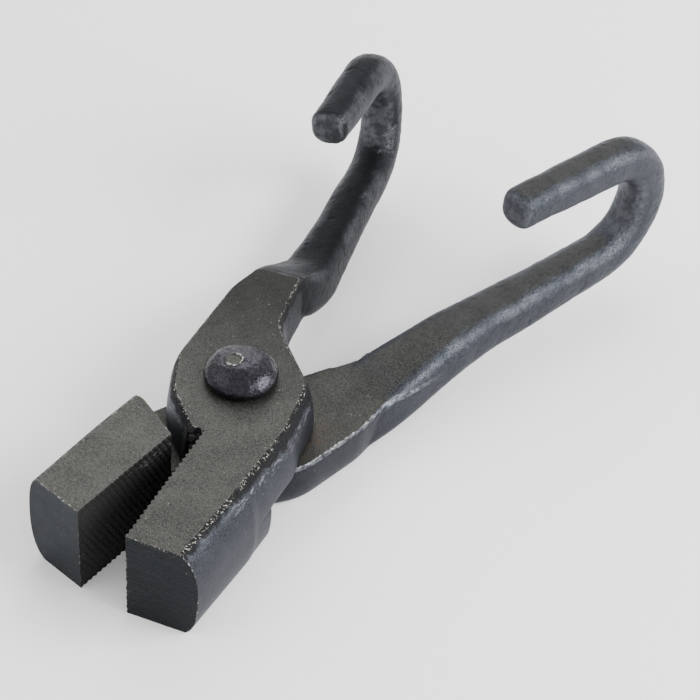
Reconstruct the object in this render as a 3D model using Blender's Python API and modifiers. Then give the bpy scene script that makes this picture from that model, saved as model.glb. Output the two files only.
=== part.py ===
"""Draw tongs: two drop-forged arms, lapped and riveted so that pulling on their hooks shuts the jaws.

Each arm is one forging: a full-height jaw, a half-height boss and neck, and a handle whose end is
bent into a hook. The lower arm is an upper arm turned over, with its handle set wider. The pivot
axis is +Z, the jaws point along -Y and the origin is on the pivot axis, on the underside.

The driving dimensions are in millimetres and degrees. Every object is made in metres.
"""

from math import atan2, cos, pi, radians, sin, tan, tau

import bmesh
import bpy
from mathutils import Matrix, Vector

NAME = "draw_tongs"
MM = 0.001

HALF_HEIGHT = 19.65
JAW_OPENING = 12.67
LAP_GAP = 0.3

# The forged sides swell out between the flat faces, towards the parting line half-way up.
SWELL_DEPTHS = (0.0, 0.5, 2.0, 5.5, 11.0)
SWELL_POWER = 2.4
SWELL_ROUNDNESS = 0.4
LAP_FACE_SWELL = 0.35

BORE_RADIUS = 7.1
SHANK_RADIUS = 7.0
HEAD_GAP = 0.3
TAIL_RADIUS = 10.4
TAIL_HEIGHT = 3.6
TAIL_GAP = 0.3
# The domed head from its underside up: radius, and height above the upper arm's face.
HEAD_PROFILE = ((12.9, 0.3), (13.7, 1.4), (13.6, 2.2), (12.5, 4.8), (10.2, 7.3), (6.8, 9.4), (2.7, 10.5))
SHANK_STEPS = 48

TOOTH_PITCH = 2.55
TOOTH_DEPTH = 0.9
TOOTH_LAND = 0.05
TEETH_FRONT = -90.0
TEETH_COUNT = 23

ARC_STEP = radians(20)
SECTION_POINTS = 20
HOOK_STEPS = 14
TIP_ROUNDING = 2.2
CLEAR = 5.0
FAR = 90.0
SHARP_ANGLE = radians(32)

# Outlines of the boss's flat face, with the jaw towards -Y and its gripping face towards -X:
# x, y, corner radius, and how far the side that follows the corner swells out.
UPPER_OUTLINE = (
    (0.6, -89.0, 0.6, 0.0),
    (20.8, -87.9, 1.6, 7.2),
    (24.4, -48.0, 90.0, 6.6),
    (25.9, -17.0, 50.0, 5.0),
    (23.0, 8.0, 16.0, 3.2),
    (-2.0, 33.0, 24.0, 2.8),
    (-5.0, 60.4, 1.0, 0.0),
    (-21.8, 59.4, 2.5, 3.0),
    (-25.6, 44.3, 20.0, 3.0),
    (-26.0, 1.0, 25.0, 3.4),
    (-19.0, -16.5, 25.0, 3.4),
    (-3.4, -31.4, 0.8, 0.0),
    (-0.8, -29.9, 0.8, 0.0),
    (0.6, -32.0, 0.2, 0.0),
)
LOWER_OUTLINE = (
    (-0.5, -88.5, 0.6, 0.0),
    (18.8, -86.8, 1.6, 6.6),
    (20.4, -52.0, 90.0, 6.6),
    (20.8, -17.0, 50.0, 4.6),
    (18.2, 5.8, 16.0, 3.8),
    (-3.6, 24.0, 16.0, 3.6),
    (-11.8, 42.6, 30.0, 2.8),
    (-19.0, 58.0, 1.0, 0.0),
    (-30.0, 58.0, 2.0, 3.0),
    (-34.8, 45.0, 20.0, 3.0),
    (-36.0, 26.0, 30.0, 3.4),
    (-32.4, -4.0, 25.0, 3.6),
    (-21.0, -20.4, 20.0, 3.6),
    (-3.4, -32.4, 0.8, 0.0),
)
# Outlines of the lap cuts: each ends at a shoulder behind the jaw, angled away at its outer corner.
UPPER_SHOULDER = (
    (-FAR, -72.6, 0.0, 0.0),
    (22.6, -30.6, 6.0, 0.0),
    (60.0, -57.0, 0.0, 0.0),
    (FAR, FAR, 0.0, 0.0),
    (-FAR, FAR, 0.0, 0.0),
)
LOWER_SHOULDER = (
    (-FAR, -72.6, 0.0, 0.0),
    (22.2, -30.6, 6.0, 0.0),
    (60.0, -66.0, 0.0, 0.0),
    (FAR, FAR, 0.0, 0.0),
    (-FAR, FAR, 0.0, 0.0),
)

# Stations along each handle, from inside the neck to the start of the hook's bend: x, y and z of
# the centre, half width, half height, and squareness (2 is an ellipse, 6 is nearly a rectangle).
UPPER_HANDLE = (
    (-14.6, 40.0, 9.8, 11.6, 9.2, 6.0),
    (-13.8, 55.0, 9.7, 11.0, 9.6, 6.0),
    (-12.8, 62.0, 8.4, 11.2, 9.6, 5.0),
    (-11.5, 72.0, 3.2, 11.1, 9.8, 4.2),
    (-11.2, 84.0, -0.8, 10.6, 9.5, 3.4),
    (-13.0, 106.0, -1.6, 9.7, 9.2, 2.8),
    (-16.3, 137.0, -1.6, 9.2, 9.0, 2.5),
    (-18.2, 156.0, -1.6, 9.0, 8.8, 2.4),
)
LOWER_HANDLE = (
    (-24.4, 30.0, -10.0, 13.0, 9.0, 5.0),
    (-26.2, 46.0, -9.0, 13.9, 9.6, 4.6),
    (-29.0, 58.0, -6.2, 13.4, 10.0, 4.2),
    (-32.3, 72.0, -2.8, 12.2, 10.0, 3.8),
    (-35.2, 86.0, -0.8, 11.2, 9.9, 3.4),
    (-38.9, 104.0, -0.2, 10.5, 9.8, 3.0),
    (-44.5, 131.0, -0.2, 10.0, 9.6, 2.7),
    (-50.8, 164.3, -0.2, 9.3, 9.3, 2.5),
)
# Hooks: radius of the bend's centre line, angle bent, sideways lean, length of the straight tip,
# and the size left at the end of the bend and at the end of the tip.
UPPER_HOOK = (23.9, 175.0, 7.1, 43.6, 0.97, 0.88)
LOWER_HOOK = (24.6, 177.0, 0.3, 55.2, 0.94, 0.87)

STEEL_COLOUR = (0.055, 0.058, 0.062, 1.0)
STEEL_METALLIC = 0.6
STEEL_ROUGHNESS = 0.5
RIVET_COLOUR = (0.045, 0.045, 0.052, 1.0)
RIVET_ROUGHNESS = 0.36


def corner_arc(before, corner, after, radius):
    """Points and outward normals round one corner of an anticlockwise polygon."""
    way_in = (corner - before).normalized()
    way_out = (after - corner).normalized()
    turn = atan2(way_in.cross(way_out), way_in.dot(way_out))
    side = 1 if turn > 0 else -1
    half_tan = max(abs(tan(turn / 2)), 1e-9)
    setback = min(radius * half_tan, (corner - before).length * 0.48, (after - corner).length * 0.48)
    reach = setback / half_tan
    outward = Vector((way_in.y, -way_in.x))
    centre = corner - way_in * setback - outward * reach * side
    start = atan2(outward.y * side, outward.x * side)
    steps = max(1, round(abs(turn) / ARC_STEP))
    arc = []
    for k in range(steps + 1):
        spoke = Vector((cos(start + turn * k / steps), sin(start + turn * k / steps)))
        arc.append((centre + spoke * reach, spoke * side))
    return arc


def rounded_outline(corners):
    """Points round a polygon with rounded corners, each with the push that its swell gives it."""
    outline = []
    for i, (x, y, radius, swell_out) in enumerate(corners):
        swell_in = corners[i - 1][3]
        after = corners[(i + 1) % len(corners)]
        arc = corner_arc(Vector(corners[i - 1][:2]), Vector((x, y)), Vector(after[:2]), radius)
        last = len(arc) - 1
        if swell_in == 0 and swell_out > 0:
            outline.append((arc[0][0], Vector((0, 0))))
        for k, (place, normal) in enumerate(arc):
            if swell_in == 0 or swell_out == 0:
                push = arc[0][1] * swell_in + arc[last][1] * swell_out
            else:
                push = normal * (swell_in + (swell_out - swell_in) * k / last)
            outline.append((place, push))
        if swell_out == 0 and swell_in > 0:
            outline.append((arc[last][0], Vector((0, 0))))
    return outline


def swell(z):
    """The share of a side's swell at this height: none at the boss's face, all of it half-way."""
    share = max(0.0, 1 - abs(z / HALF_HEIGHT) ** SWELL_POWER) ** SWELL_ROUNDNESS
    return share if z > 0 else LAP_FACE_SWELL + (1 - LAP_FACE_SWELL) * share


def mesh_object(name, bm):
    """A mesh object in metres from a bmesh in millimetres."""
    bmesh.ops.remove_doubles(bm, verts=bm.verts, dist=0.0005)
    bmesh.ops.recalc_face_normals(bm, faces=bm.faces)
    bmesh.ops.scale(bm, vec=(MM, MM, MM), verts=bm.verts)
    mesh = bpy.data.meshes.new(name)
    bm.to_mesh(mesh)
    bm.free()
    return bpy.data.objects.new(name, mesh)


def loft(name, rings):
    """A closed solid through a row of rings that have the same number of points."""
    bm = bmesh.new()
    loops = [[bm.verts.new(point) for point in ring] for ring in rings]
    for low, high in zip(loops, loops[1:]):
        for i, corner in enumerate(low):
            j = (i + 1) % len(low)
            bm.faces.new((corner, low[j], high[j], high[i]))
    bm.faces.new(loops[0])
    bm.faces.new(loops[-1])
    return mesh_object(name, bm)


def forged_head(name, corners):
    """Jaw, boss and neck at full height: flat faces joined by swelling sides."""
    outline = rounded_outline(corners)
    upper = [HALF_HEIGHT - depth for depth in SWELL_DEPTHS]
    levels = [-z for z in upper] + [0.0] + upper[::-1]
    rings = []
    for z in levels:
        flat = [place + push * swell(z) for place, push in outline]
        rings.append([(point.x, point.y, z) for point in flat])
    return loft(name, rings)


def rounded_section(centre, across, upward, half_width, half_height, squareness):
    """A ring that goes from an ellipse to nearly a rectangle as its squareness grows."""
    ring = []
    for k in range(SECTION_POINTS):
        angle = tau * (k + 0.5) / SECTION_POINTS
        x = abs(cos(angle)) ** (2 / squareness) * (1 if cos(angle) > 0 else -1)
        y = abs(sin(angle)) ** (2 / squareness) * (1 if sin(angle) > 0 else -1)
        ring.append(centre + across * (x * half_width) + upward * (y * half_height))
    return ring


def between_stations(stations, place):
    """Catmull-Rom values of all the stations' numbers, at a place counted in stations."""
    i = min(int(place), len(stations) - 2)
    f = place - i
    values = []
    rows = (stations[max(i - 1, 0)], stations[i], stations[i + 1], stations[min(i + 2, len(stations) - 1)])
    for a, b, c, d in zip(*rows):
        curve = 2 * b + (c - a) * f + (2 * a - 5 * b + 4 * c - d) * f ** 2
        values.append((curve + (3 * b - a - 3 * c + d) * f ** 3) / 2)
    return values


def handle_path(stations, hook):
    """Centres and sizes along a handle and its hook, and the direction across the hook's bend."""
    radius, bend, lean, tip, bend_size, tip_size = hook
    path = []
    for k in range(2 * len(stations) - 1):
        values = between_stations(stations, k / 2)
        path.append((Vector(values[:3]), *values[3:]))
    run = (Vector(stations[-1][:2]) - Vector(stations[-2][:2])).normalized().to_3d()
    sideways = Vector((run.y, -run.x, 0))
    up = Vector((0, 0, cos(radians(lean)))) - sideways * sin(radians(lean))
    start, width, height, square = path[-1]
    for k in range(1, HOOK_STEPS + 1):
        angle = radians(bend) * k / HOOK_STEPS
        size = 1 + (bend_size - 1) * k / HOOK_STEPS
        place = start + run * (radius * sin(angle)) + up * (radius * (1 - cos(angle)))
        path.append((place, width * size, height * size, square))
    bend_end = path[-1][0]
    back = run * cos(radians(bend)) + up * sin(radians(bend))
    for share in (0.5, 1.0):
        size = bend_size + (tip_size - bend_size) * share
        place = bend_end + back * ((tip - TIP_ROUNDING) * share)
        path.append((place, width * size, height * size, square))
    end, width, height, square = path[-1]
    for angle in (radians(35), radians(70)):
        inset = TIP_ROUNDING * (1 - cos(angle))
        place = end + back * (TIP_ROUNDING * sin(angle))
        path.append((place, width - inset, height - inset, square))
    return path, run.cross(up).normalized()


def handle(name, stations, hook):
    """The bar from inside the neck to the tip of the hook."""
    path, across_bend = handle_path(stations, hook)
    rings = []
    for k, (centre, width, height, square) in enumerate(path):
        along = (path[min(k + 1, len(path) - 1)][0] - path[max(k - 1, 0)][0]).normalized()
        across = (across_bend - along * across_bend.dot(along)).normalized()
        rings.append(rounded_section(centre, across, across.cross(along), width, height, square))
    return loft(name, rings)


def upright_block(name, outline, low, high):
    """A block with this outline, from a filled and extruded 2D curve made a mesh."""
    curve = bpy.data.curves.new(name, "CURVE")
    curve.dimensions = "2D"
    curve.fill_mode = "BOTH"
    curve.extrude = (high - low) / 2
    spline = curve.splines.new("POLY")
    spline.points.add(len(outline) - 1)
    for point, (x, y) in zip(spline.points, outline):
        point.co = (x, y, 0, 1)
    spline.use_cyclic_u = True
    holder = bpy.data.objects.new(name + "_curve", curve)
    bpy.context.scene.collection.objects.link(holder)
    mesh = evaluated_mesh(holder)
    bpy.data.objects.remove(holder)
    bm = bmesh.new()
    bm.from_mesh(mesh)
    bpy.data.meshes.remove(mesh)
    bmesh.ops.translate(bm, vec=(0, 0, (low + high) / 2), verts=bm.verts)
    return mesh_object(name, bm)


def teeth_comb(name, face):
    """A comb that cuts a row of upright teeth into a jaw's gripping face."""
    crest = face + TOOTH_LAND
    outline = []
    for k in range(TEETH_COUNT):
        y = TEETH_FRONT + k * TOOTH_PITCH
        outline.append((crest, y))
        outline.append((crest + TOOTH_DEPTH, y + TOOTH_PITCH / 2))
    back = TEETH_FRONT + TEETH_COUNT * TOOTH_PITCH
    outline += [(crest, back), (crest - CLEAR, back), (crest - CLEAR, TEETH_FRONT)]
    return upright_block(name, outline, -HALF_HEIGHT - CLEAR, HALF_HEIGHT + CLEAR)


def turned(name, profile):
    """A turned solid from a profile of radius and height, run down its outer side."""
    bm = bmesh.new()
    row = [bm.verts.new((radius, 0, z)) for radius, z in profile]
    for low, high in zip(row, row[1:]):
        bm.edges.new((low, high))
    thing = mesh_object(name, bm)
    screw = thing.modifiers.new("turn", "SCREW")
    screw.axis = "Z"
    screw.steps = SHANK_STEPS
    screw.render_steps = SHANK_STEPS
    screw.use_merge_vertices = True
    screw.merge_threshold = 0.00001
    return thing


def cylinder(name, radius, low, high):
    """A plain round cutter on the pivot axis."""
    bm = bmesh.new()
    bmesh.ops.create_cone(
        bm, cap_ends=True, segments=SHANK_STEPS, radius1=radius, radius2=radius, depth=high - low
    )
    bmesh.ops.translate(bm, vec=(0, 0, (low + high) / 2), verts=bm.verts)
    return mesh_object(name, bm)


def countersink(name):
    """The cone that the rivet's tail is closed into, with its gap all round."""
    bm = bmesh.new()
    slope = (TAIL_RADIUS - SHANK_RADIUS) / TAIL_HEIGHT
    low = -HALF_HEIGHT - CLEAR
    high = -HALF_HEIGHT + TAIL_HEIGHT
    wide = SHANK_RADIUS + TAIL_GAP + slope * (high - low)
    bmesh.ops.create_cone(
        bm, cap_ends=True, segments=SHANK_STEPS, radius1=wide, radius2=SHANK_RADIUS + TAIL_GAP,
        depth=high - low,
    )
    bmesh.ops.translate(bm, vec=(0, 0, (low + high) / 2), verts=bm.verts)
    return mesh_object(name, bm)


def evaluated_mesh(thing):
    """A new mesh of the object with its modifiers applied."""
    bpy.context.view_layer.update()
    depsgraph = bpy.context.evaluated_depsgraph_get()
    return bpy.data.meshes.new_from_object(thing.evaluated_get(depsgraph))


def combine(target, other, operation):
    """Adds a Boolean with another object to the target."""
    modifier = target.modifiers.new(other.name, "BOOLEAN")
    modifier.operation = operation
    modifier.solver = "EXACT"
    modifier.object = other


def settle(thing, matrix):
    """Applies the object's modifiers and moves its mesh."""
    mesh = evaluated_mesh(thing)
    thing.modifiers.clear()
    thing.data = mesh
    mesh.transform(matrix)


def steel(name, colour, roughness):
    """A blackened steel."""
    material = bpy.data.materials.new(name)
    material.use_nodes = True
    shader = material.node_tree.nodes["Principled BSDF"]
    shader.inputs["Base Color"].default_value = colour
    shader.inputs["Metallic"].default_value = STEEL_METALLIC
    shader.inputs["Roughness"].default_value = roughness
    return material


def finish(thing, material):
    """Gives a part its material and its smooth shading."""
    thing.data.materials.clear()
    thing.data.materials.append(material)
    thing.data.shade_smooth()
    thing.data.set_sharp_from_angle(angle=SHARP_ANGLE)


def new_collection(name):
    """A collection in the scene."""
    collection = bpy.data.collections.new(name)
    bpy.context.scene.collection.children.link(collection)
    return collection


def as_cutter(thing, cutters):
    """Puts an object with the cutters, out of the finished model."""
    cutters.objects.link(thing)
    thing.hide_render = True
    thing.display_type = "WIRE"
    return thing


def forged_arm(name, corners, shoulder_corners, parts, cutters):
    """One arm's jaw, boss and neck, lapped and toothed, with its boss upwards."""
    arm = forged_head(name, corners)
    parts.objects.link(arm)
    shoulder = [tuple(place) for place, push in rounded_outline(shoulder_corners)]
    lap = upright_block(name + "_lap", shoulder, -HALF_HEIGHT - CLEAR, LAP_GAP / 2)
    comb = teeth_comb(name + "_comb", corners[0][0])
    for cutter in (lap, comb):
        combine(arm, as_cutter(cutter, cutters), "DIFFERENCE")
    return arm


def fit_handle(arm, stations, hook, cutters):
    """Joins an arm's handle to its neck and bores it for the rivet."""
    bar = handle(arm.name + "_bar", stations, hook)
    bore = cylinder(arm.name + "_bore", BORE_RADIUS, -HALF_HEIGHT - CLEAR, HALF_HEIGHT + CLEAR)
    combine(arm, as_cutter(bar, cutters), "UNION")
    combine(arm, as_cutter(bore, cutters), "DIFFERENCE")


def upper_arm(parts, cutters):
    """The arm whose boss lies on top."""
    arm = forged_arm("upper_arm", UPPER_OUTLINE, UPPER_SHOULDER, parts, cutters)
    fit_handle(arm, UPPER_HANDLE, UPPER_HOOK, cutters)
    place = Matrix.Rotation(radians(JAW_OPENING / 2), 4, "Z")
    settle(arm, Matrix.Translation((0, 0, HALF_HEIGHT * MM)) @ place)
    return arm


def lower_arm(parts, cutters):
    """The same forging turned over, with its own handle and the countersink for the rivet's tail."""
    arm = forged_arm("lower_arm", LOWER_OUTLINE, LOWER_SHOULDER, parts, cutters)
    settle(arm, Matrix.Rotation(pi, 4, "Y"))
    stations = [(-station[0], *station[1:]) for station in LOWER_HANDLE]
    radius, bend, lean, *tip = LOWER_HOOK
    fit_handle(arm, stations, (radius, bend, -lean, *tip), cutters)
    combine(arm, as_cutter(countersink("lower_arm_countersink"), cutters), "DIFFERENCE")
    place = Matrix.Rotation(-radians(JAW_OPENING / 2), 4, "Z")
    settle(arm, Matrix.Translation((0, 0, HALF_HEIGHT * MM)) @ place)
    return arm


def pivot_rivet(parts):
    """The rivet: domed head, shank, and a tail closed flush into the countersink."""
    top = 2 * HALF_HEIGHT
    head = [(radius, top + z) for radius, z in HEAD_PROFILE]
    profile = [(0, head[-1][1]), *head[::-1], (SHANK_RADIUS, top + HEAD_GAP)]
    profile += [(SHANK_RADIUS, TAIL_HEIGHT), (TAIL_RADIUS, 0.0), (0, 0.0)]
    rivet = turned("pivot_rivet", profile)
    parts.objects.link(rivet)
    settle(rivet, Matrix.Identity(4))
    return rivet


def main():
    for thing in list(bpy.data.objects):
        bpy.data.objects.remove(thing, do_unlink=True)
    parts = new_collection(NAME)
    cutters = new_collection(NAME + "_cutters")
    finish(upper_arm(parts, cutters), steel("upper_arm_steel", STEEL_COLOUR, STEEL_ROUGHNESS))
    finish(lower_arm(parts, cutters), steel("lower_arm_steel", STEEL_COLOUR, STEEL_ROUGHNESS))
    finish(pivot_rivet(parts), steel("rivet_steel", RIVET_COLOUR, RIVET_ROUGHNESS))


main()
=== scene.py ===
"""Looks of the draw tongs: forged and ground arms with cut teeth, and a hammered rivet.

Each arm is made the way the real one is. A blank is forged: a lofted head and handle, fused by a
voxel remesh and given a scaly skin. Then it is machined: the flats, the lap, the gripping face and
the bore are cut from it. Shapes are in millimetres, in the arm's own frame: the pivot axis is +Z,
z is 0 at the lap and the jaw points along -Y. Each arm is then placed on its CAD body.
"""

from math import atan2, cos, pi, radians, sin, tan, tau

import bmesh
import bpy
import numpy as np
from mathutils import Matrix, Vector, noise

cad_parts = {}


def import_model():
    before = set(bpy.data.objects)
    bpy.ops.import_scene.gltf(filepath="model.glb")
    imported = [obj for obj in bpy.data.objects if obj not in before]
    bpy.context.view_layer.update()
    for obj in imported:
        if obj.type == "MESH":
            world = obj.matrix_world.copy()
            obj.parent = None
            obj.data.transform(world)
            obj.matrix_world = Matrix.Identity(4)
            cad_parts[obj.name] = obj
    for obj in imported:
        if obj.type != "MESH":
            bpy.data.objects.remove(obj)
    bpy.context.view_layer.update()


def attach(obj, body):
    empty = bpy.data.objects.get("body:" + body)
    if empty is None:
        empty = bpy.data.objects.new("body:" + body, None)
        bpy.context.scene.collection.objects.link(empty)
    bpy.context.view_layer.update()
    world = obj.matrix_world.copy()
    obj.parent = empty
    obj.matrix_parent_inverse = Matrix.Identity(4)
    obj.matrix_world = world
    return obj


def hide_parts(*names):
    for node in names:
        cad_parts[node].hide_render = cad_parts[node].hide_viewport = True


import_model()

MM = 0.001

# As in the part: half the height of the jaws, the degrees between the arms, and the lap's gap.
HALF_HEIGHT = 19.65
JAW_OPENING = 12.67
LAP_GAP = 0.3

# How finely outlines, heights, handles and turned pieces are divided.
ARC_STEP = radians(5)
LEVEL_STEP = 0.8
SECTION_POINTS = 48
STATION_STEPS = 6
HOOK_STEPS = 36
TIP_STEPS = 5
TIP_STEP_ANGLE = 16
TURNED_POINTS = 96
SLOPE_STEPS = 16
DOME_STEPS = 24

# How overlapping blanks are fused.
VOXEL = 0.58
RIVET_VOXEL = 0.3
SMOOTH_SHARE = 0.5
SMOOTH_STEPS = 6
RIVET_SMOOTH_STEPS = 4

# How a head's sides swell, and the trimmed strip where the forging dies met.
BLANK_EXTRA = 0.8
SWELL_POWER = 2.4
SWELL_ROUNDNESS = 0.4
LAP_FACE_SWELL = 0.35
TRIM_DEPTH = 1.5
TRIM_SLOPE = 1.1

# Stock left on a blank: on the flats, on the jaw's front and gripping face, and at the shoulder. The
# blank's lap is cut to its own height, and from this far ahead of the finished lap's rear edge.
GRIND_STOCK = 0.7
FACE_STOCK = 1.2
SHOULDER_STOCK = 1.0
BLANK_LAP_HEIGHT = -0.5
BLANK_LAP_LEAD = 8

# Cutters: how far they reach, and where the ground flats end on the lap's side and on the outside.
FAR = 90.0
CLEAR = 6.0
CUTTER_SIDE = 80
CUTTER_FRONT = -120
FLAT_REAR = 62.5
LAP_SIDE_FLAT_REAR = -25
FRONT_LEFT = -40
FRONT_RIGHT = 60
FRONT_TRIM = 0.15
SLOPE_HOLLOW = 1.15
SLOPE_LEAD = 2.0
SLOPE_BEYOND = 30
SLOPE_LEFT_MARGIN = 14
SLOPE_RIGHT_MARGIN = 12

TOOTH_PITCH = 2.55
TOOTH_RISE = 4.8
TEETH_FRONT = -92.0
TEETH_REAR = -31.0

# The forged skin. Each pair is the size and the depth of one kind of unevenness.
LUMPS = (11, 0.34)
DENTS = (4.1, 0.10)
SCALES = (2.1, 0.09)
PITS = (2.9, 0.55)
PIT_LEVEL = 0.28
FINS = (2.4, 0.45)
HANDLE_SINK = 0.27
HEAD_ROUGHNESS = 0.10

BORE_RADIUS = 7.1
SHANK_RADIUS = 7.0
DOME_RADIUS = 13.85
DOME_BASE = 1.9
DOME_HEIGHT = 7.3
DOME_POWER = 0.94
TAIL_RADIUS = 10.4
TAIL_HEIGHT = 3.6
RIVET_CLEAR = 0.25

# The hammer's last flat on the rivet: its middle, its radius and its height above the upper flat.
BLOW_X = -2.5
BLOW_Y = -1.3
BLOW_RADIUS = 3.1
BLOW_HEIGHT = 8.75

# Outlines are corners x, y, rounding and the swell of the side that follows; shoulders are corners
# x, y and rounding.
UPPER_OUTLINE = (
    (0.6, -89.0, 0.6, 0.0),
    (20.8, -87.9, 1.6, 7.2),
    (24.4, -48.0, 90.0, 6.6),
    (25.9, -17.0, 50.0, 5.0),
    (23.0, 8.0, 16.0, 3.2),
    (-2.0, 33.0, 24.0, 2.8),
    (-5.0, 60.4, 1.0, 0.0),
    (-21.8, 59.4, 2.5, 3.0),
    (-25.6, 44.3, 20.0, 3.0),
    (-26.0, 1.0, 25.0, 3.4),
    (-19.0, -16.5, 25.0, 3.4),
    (-3.4, -31.4, 0.8, 0.0),
    (-0.8, -29.9, 0.8, 0.0),
    (0.6, -32.0, 0.2, 0.0),
)
LOWER_OUTLINE = (
    (-0.5, -88.5, 0.6, 0.0),
    (18.8, -86.8, 1.6, 6.6),
    (20.4, -52.0, 90.0, 6.6),
    (20.8, -17.0, 50.0, 4.6),
    (18.2, 5.8, 16.0, 3.8),
    (-3.6, 24.0, 16.0, 3.6),
    (-11.8, 42.6, 30.0, 2.8),
    (-19.0, 58.0, 1.0, 0.0),
    (-30.0, 58.0, 2.0, 3.0),
    (-34.8, 45.0, 20.0, 3.0),
    (-36.0, 26.0, 30.0, 3.4),
    (-32.4, -4.0, 25.0, 3.6),
    (-21.0, -20.4, 20.0, 3.6),
    (-3.4, -32.4, 0.8, 0.0),
)
UPPER_SHOULDER = ((-FAR, -72.6, 0.0), (22.6, -30.6, 6.0), (60.0, -57.0, 0.0))
LOWER_SHOULDER = ((-FAR, -72.6, 0.0), (22.2, -30.6, 6.0), (60.0, -66.0, 0.0))
# Handles are stations x, y, z, half width, half height and squareness; hooks are the bend's radius,
# its angle, its lean, the tip's length, and the sizes at the bend's end and at the tip.
UPPER_HANDLE = (
    (-14.6, 40.0, 9.8, 11.6, 9.2, 6.0),
    (-13.8, 55.0, 9.7, 11.0, 9.6, 6.0),
    (-12.8, 62.0, 8.4, 11.2, 9.6, 5.0),
    (-11.5, 72.0, 3.2, 11.1, 9.8, 4.2),
    (-11.2, 84.0, -0.8, 10.6, 9.5, 3.4),
    (-13.0, 106.0, -1.6, 9.7, 9.2, 2.8),
    (-16.3, 137.0, -1.6, 9.2, 9.0, 2.5),
    (-18.2, 156.0, -1.6, 9.0, 8.8, 2.4),
)
LOWER_HANDLE = (
    (-24.4, 30.0, -10.0, 13.0, 9.0, 5.0),
    (-26.2, 46.0, -9.0, 13.9, 9.6, 4.6),
    (-29.0, 58.0, -6.2, 13.4, 10.0, 4.2),
    (-32.3, 72.0, -2.8, 12.2, 10.0, 3.8),
    (-35.2, 86.0, -0.8, 11.2, 9.9, 3.4),
    (-38.9, 104.0, -0.2, 10.5, 9.8, 3.0),
    (-44.5, 131.0, -0.2, 10.0, 9.6, 2.7),
    (-50.8, 164.3, -0.2, 9.3, 9.3, 2.5),
)
UPPER_HOOK = (23.9, 175.0, 7.1, 43.6, 0.97, 0.88)
LOWER_HOOK = (24.6, 177.0, 0.3, 55.2, 0.94, 0.87)
TIP_ROUNDING = 4.2

# Where each lap ends, what is dressed off behind each boss (a crest, its run and its drop), how deep
# the teeth are at the front and at the rear, and where the forged skin starts and where it is full.
UPPER_LAP_REAR = 55.0
LOWER_LAP_REAR = 40.0
UPPER_CREST = ((-22.0, 58.3), (-5.0, 60.2), 27.0, 11.0)
LOWER_CREST = ((-36.0, 54.0), (-14.0, 52.0), 30.0, 8.0)
UPPER_TEETH = (0.8, 0.85)
LOWER_TEETH = (0.5, 0.9)
UPPER_SKIN = (25, 80)
LOWER_SKIN = (46, 88)


# Outlines and lofts

def corner_arc(before, corner, after, radius):
    """Points and outward normals round one corner of an anticlockwise polygon."""
    way_in = (corner - before).normalized()
    way_out = (after - corner).normalized()
    turn = atan2(way_in.cross(way_out), way_in.dot(way_out))
    side = 1 if turn > 0 else -1
    half_tan = max(abs(tan(turn / 2)), 1e-9)
    setback = min(radius * half_tan, (corner - before).length * 0.48, (after - corner).length * 0.48)
    reach = setback / half_tan
    outward = Vector((way_in.y, -way_in.x))
    centre = corner - way_in * setback - outward * reach * side
    start = atan2(outward.y * side, outward.x * side)
    steps = max(1, round(abs(turn) / ARC_STEP))
    arc = []
    for k in range(steps + 1):
        spoke = Vector((cos(start + turn * k / steps), sin(start + turn * k / steps)))
        arc.append((centre + spoke * reach, spoke * side))
    return arc


def rounded_outline(corners):
    """Points round a polygon with rounded corners, each with the push that its swell gives it."""
    outline = []
    for i, (x, y, radius, swell_out) in enumerate(corners):
        swell_in = corners[i - 1][3]
        after = corners[(i + 1) % len(corners)]
        arc = corner_arc(Vector(corners[i - 1][:2]), Vector((x, y)), Vector(after[:2]), radius)
        last = len(arc) - 1
        if swell_in == 0 and swell_out > 0:
            outline.append((arc[0][0], Vector((0, 0))))
        for k, (spot, normal) in enumerate(arc):
            if swell_in == 0 or swell_out == 0:
                push = arc[0][1] * swell_in + arc[last][1] * swell_out
            else:
                push = normal * (swell_in + (swell_out - swell_in) * k / last)
            outline.append((spot, push))
        if swell_out == 0 and swell_in > 0:
            outline.append((arc[last][0], Vector((0, 0))))
    return outline


def swell(z):
    """The share of a side's swell at this height: none at the flat, all of it half-way, and less
    than none in the stock that is ground off above the flat."""
    def crown(height):
        reach = abs(height) / (HALF_HEIGHT + BLANK_EXTRA)
        return max(0.0, 1 - reach ** SWELL_POWER) ** SWELL_ROUNDNESS
    at_flat = crown(HALF_HEIGHT)
    share = (crown(z) - at_flat) / (1 - at_flat)
    return share if z > 0 else LAP_FACE_SWELL + (1 - LAP_FACE_SWELL) * share


def loft(bm, rings):
    """A closed shell through a row of rings that have the same number of points."""
    loops = [[bm.verts.new(point) for point in ring] for ring in rings]
    for low, high in zip(loops, loops[1:]):
        for i, corner in enumerate(low):
            j = (i + 1) % len(low)
            bm.faces.new((corner, low[j], high[j], high[i]))
    bm.faces.new(loops[0])
    bm.faces.new(loops[-1])


def rounded_section(centre, across, upward, half_width, half_height, squareness):
    """A ring that goes from an ellipse to nearly a rectangle as its squareness grows."""
    ring = []
    for k in range(SECTION_POINTS):
        angle = tau * (k + 0.5) / SECTION_POINTS
        x = abs(cos(angle)) ** (2 / squareness) * (1 if cos(angle) > 0 else -1)
        y = abs(sin(angle)) ** (2 / squareness) * (1 if sin(angle) > 0 else -1)
        ring.append(centre + across * (x * half_width) + upward * (y * half_height))
    return ring


def between_stations(stations, along):
    """Catmull-Rom values of all the stations' numbers, at a place counted in stations."""
    last = len(stations) - 1
    i = min(int(along), last - 1)
    f = along - i
    values = []
    rows = (stations[max(i - 1, 0)], stations[i], stations[i + 1], stations[min(i + 2, last)])
    for a, b, c, d in zip(*rows):
        curve = 2 * b + (c - a) * f + (2 * a - 5 * b + 4 * c - d) * f ** 2
        values.append((curve + (3 * b - a - 3 * c + d) * f ** 3) / 2)
    return values


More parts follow.
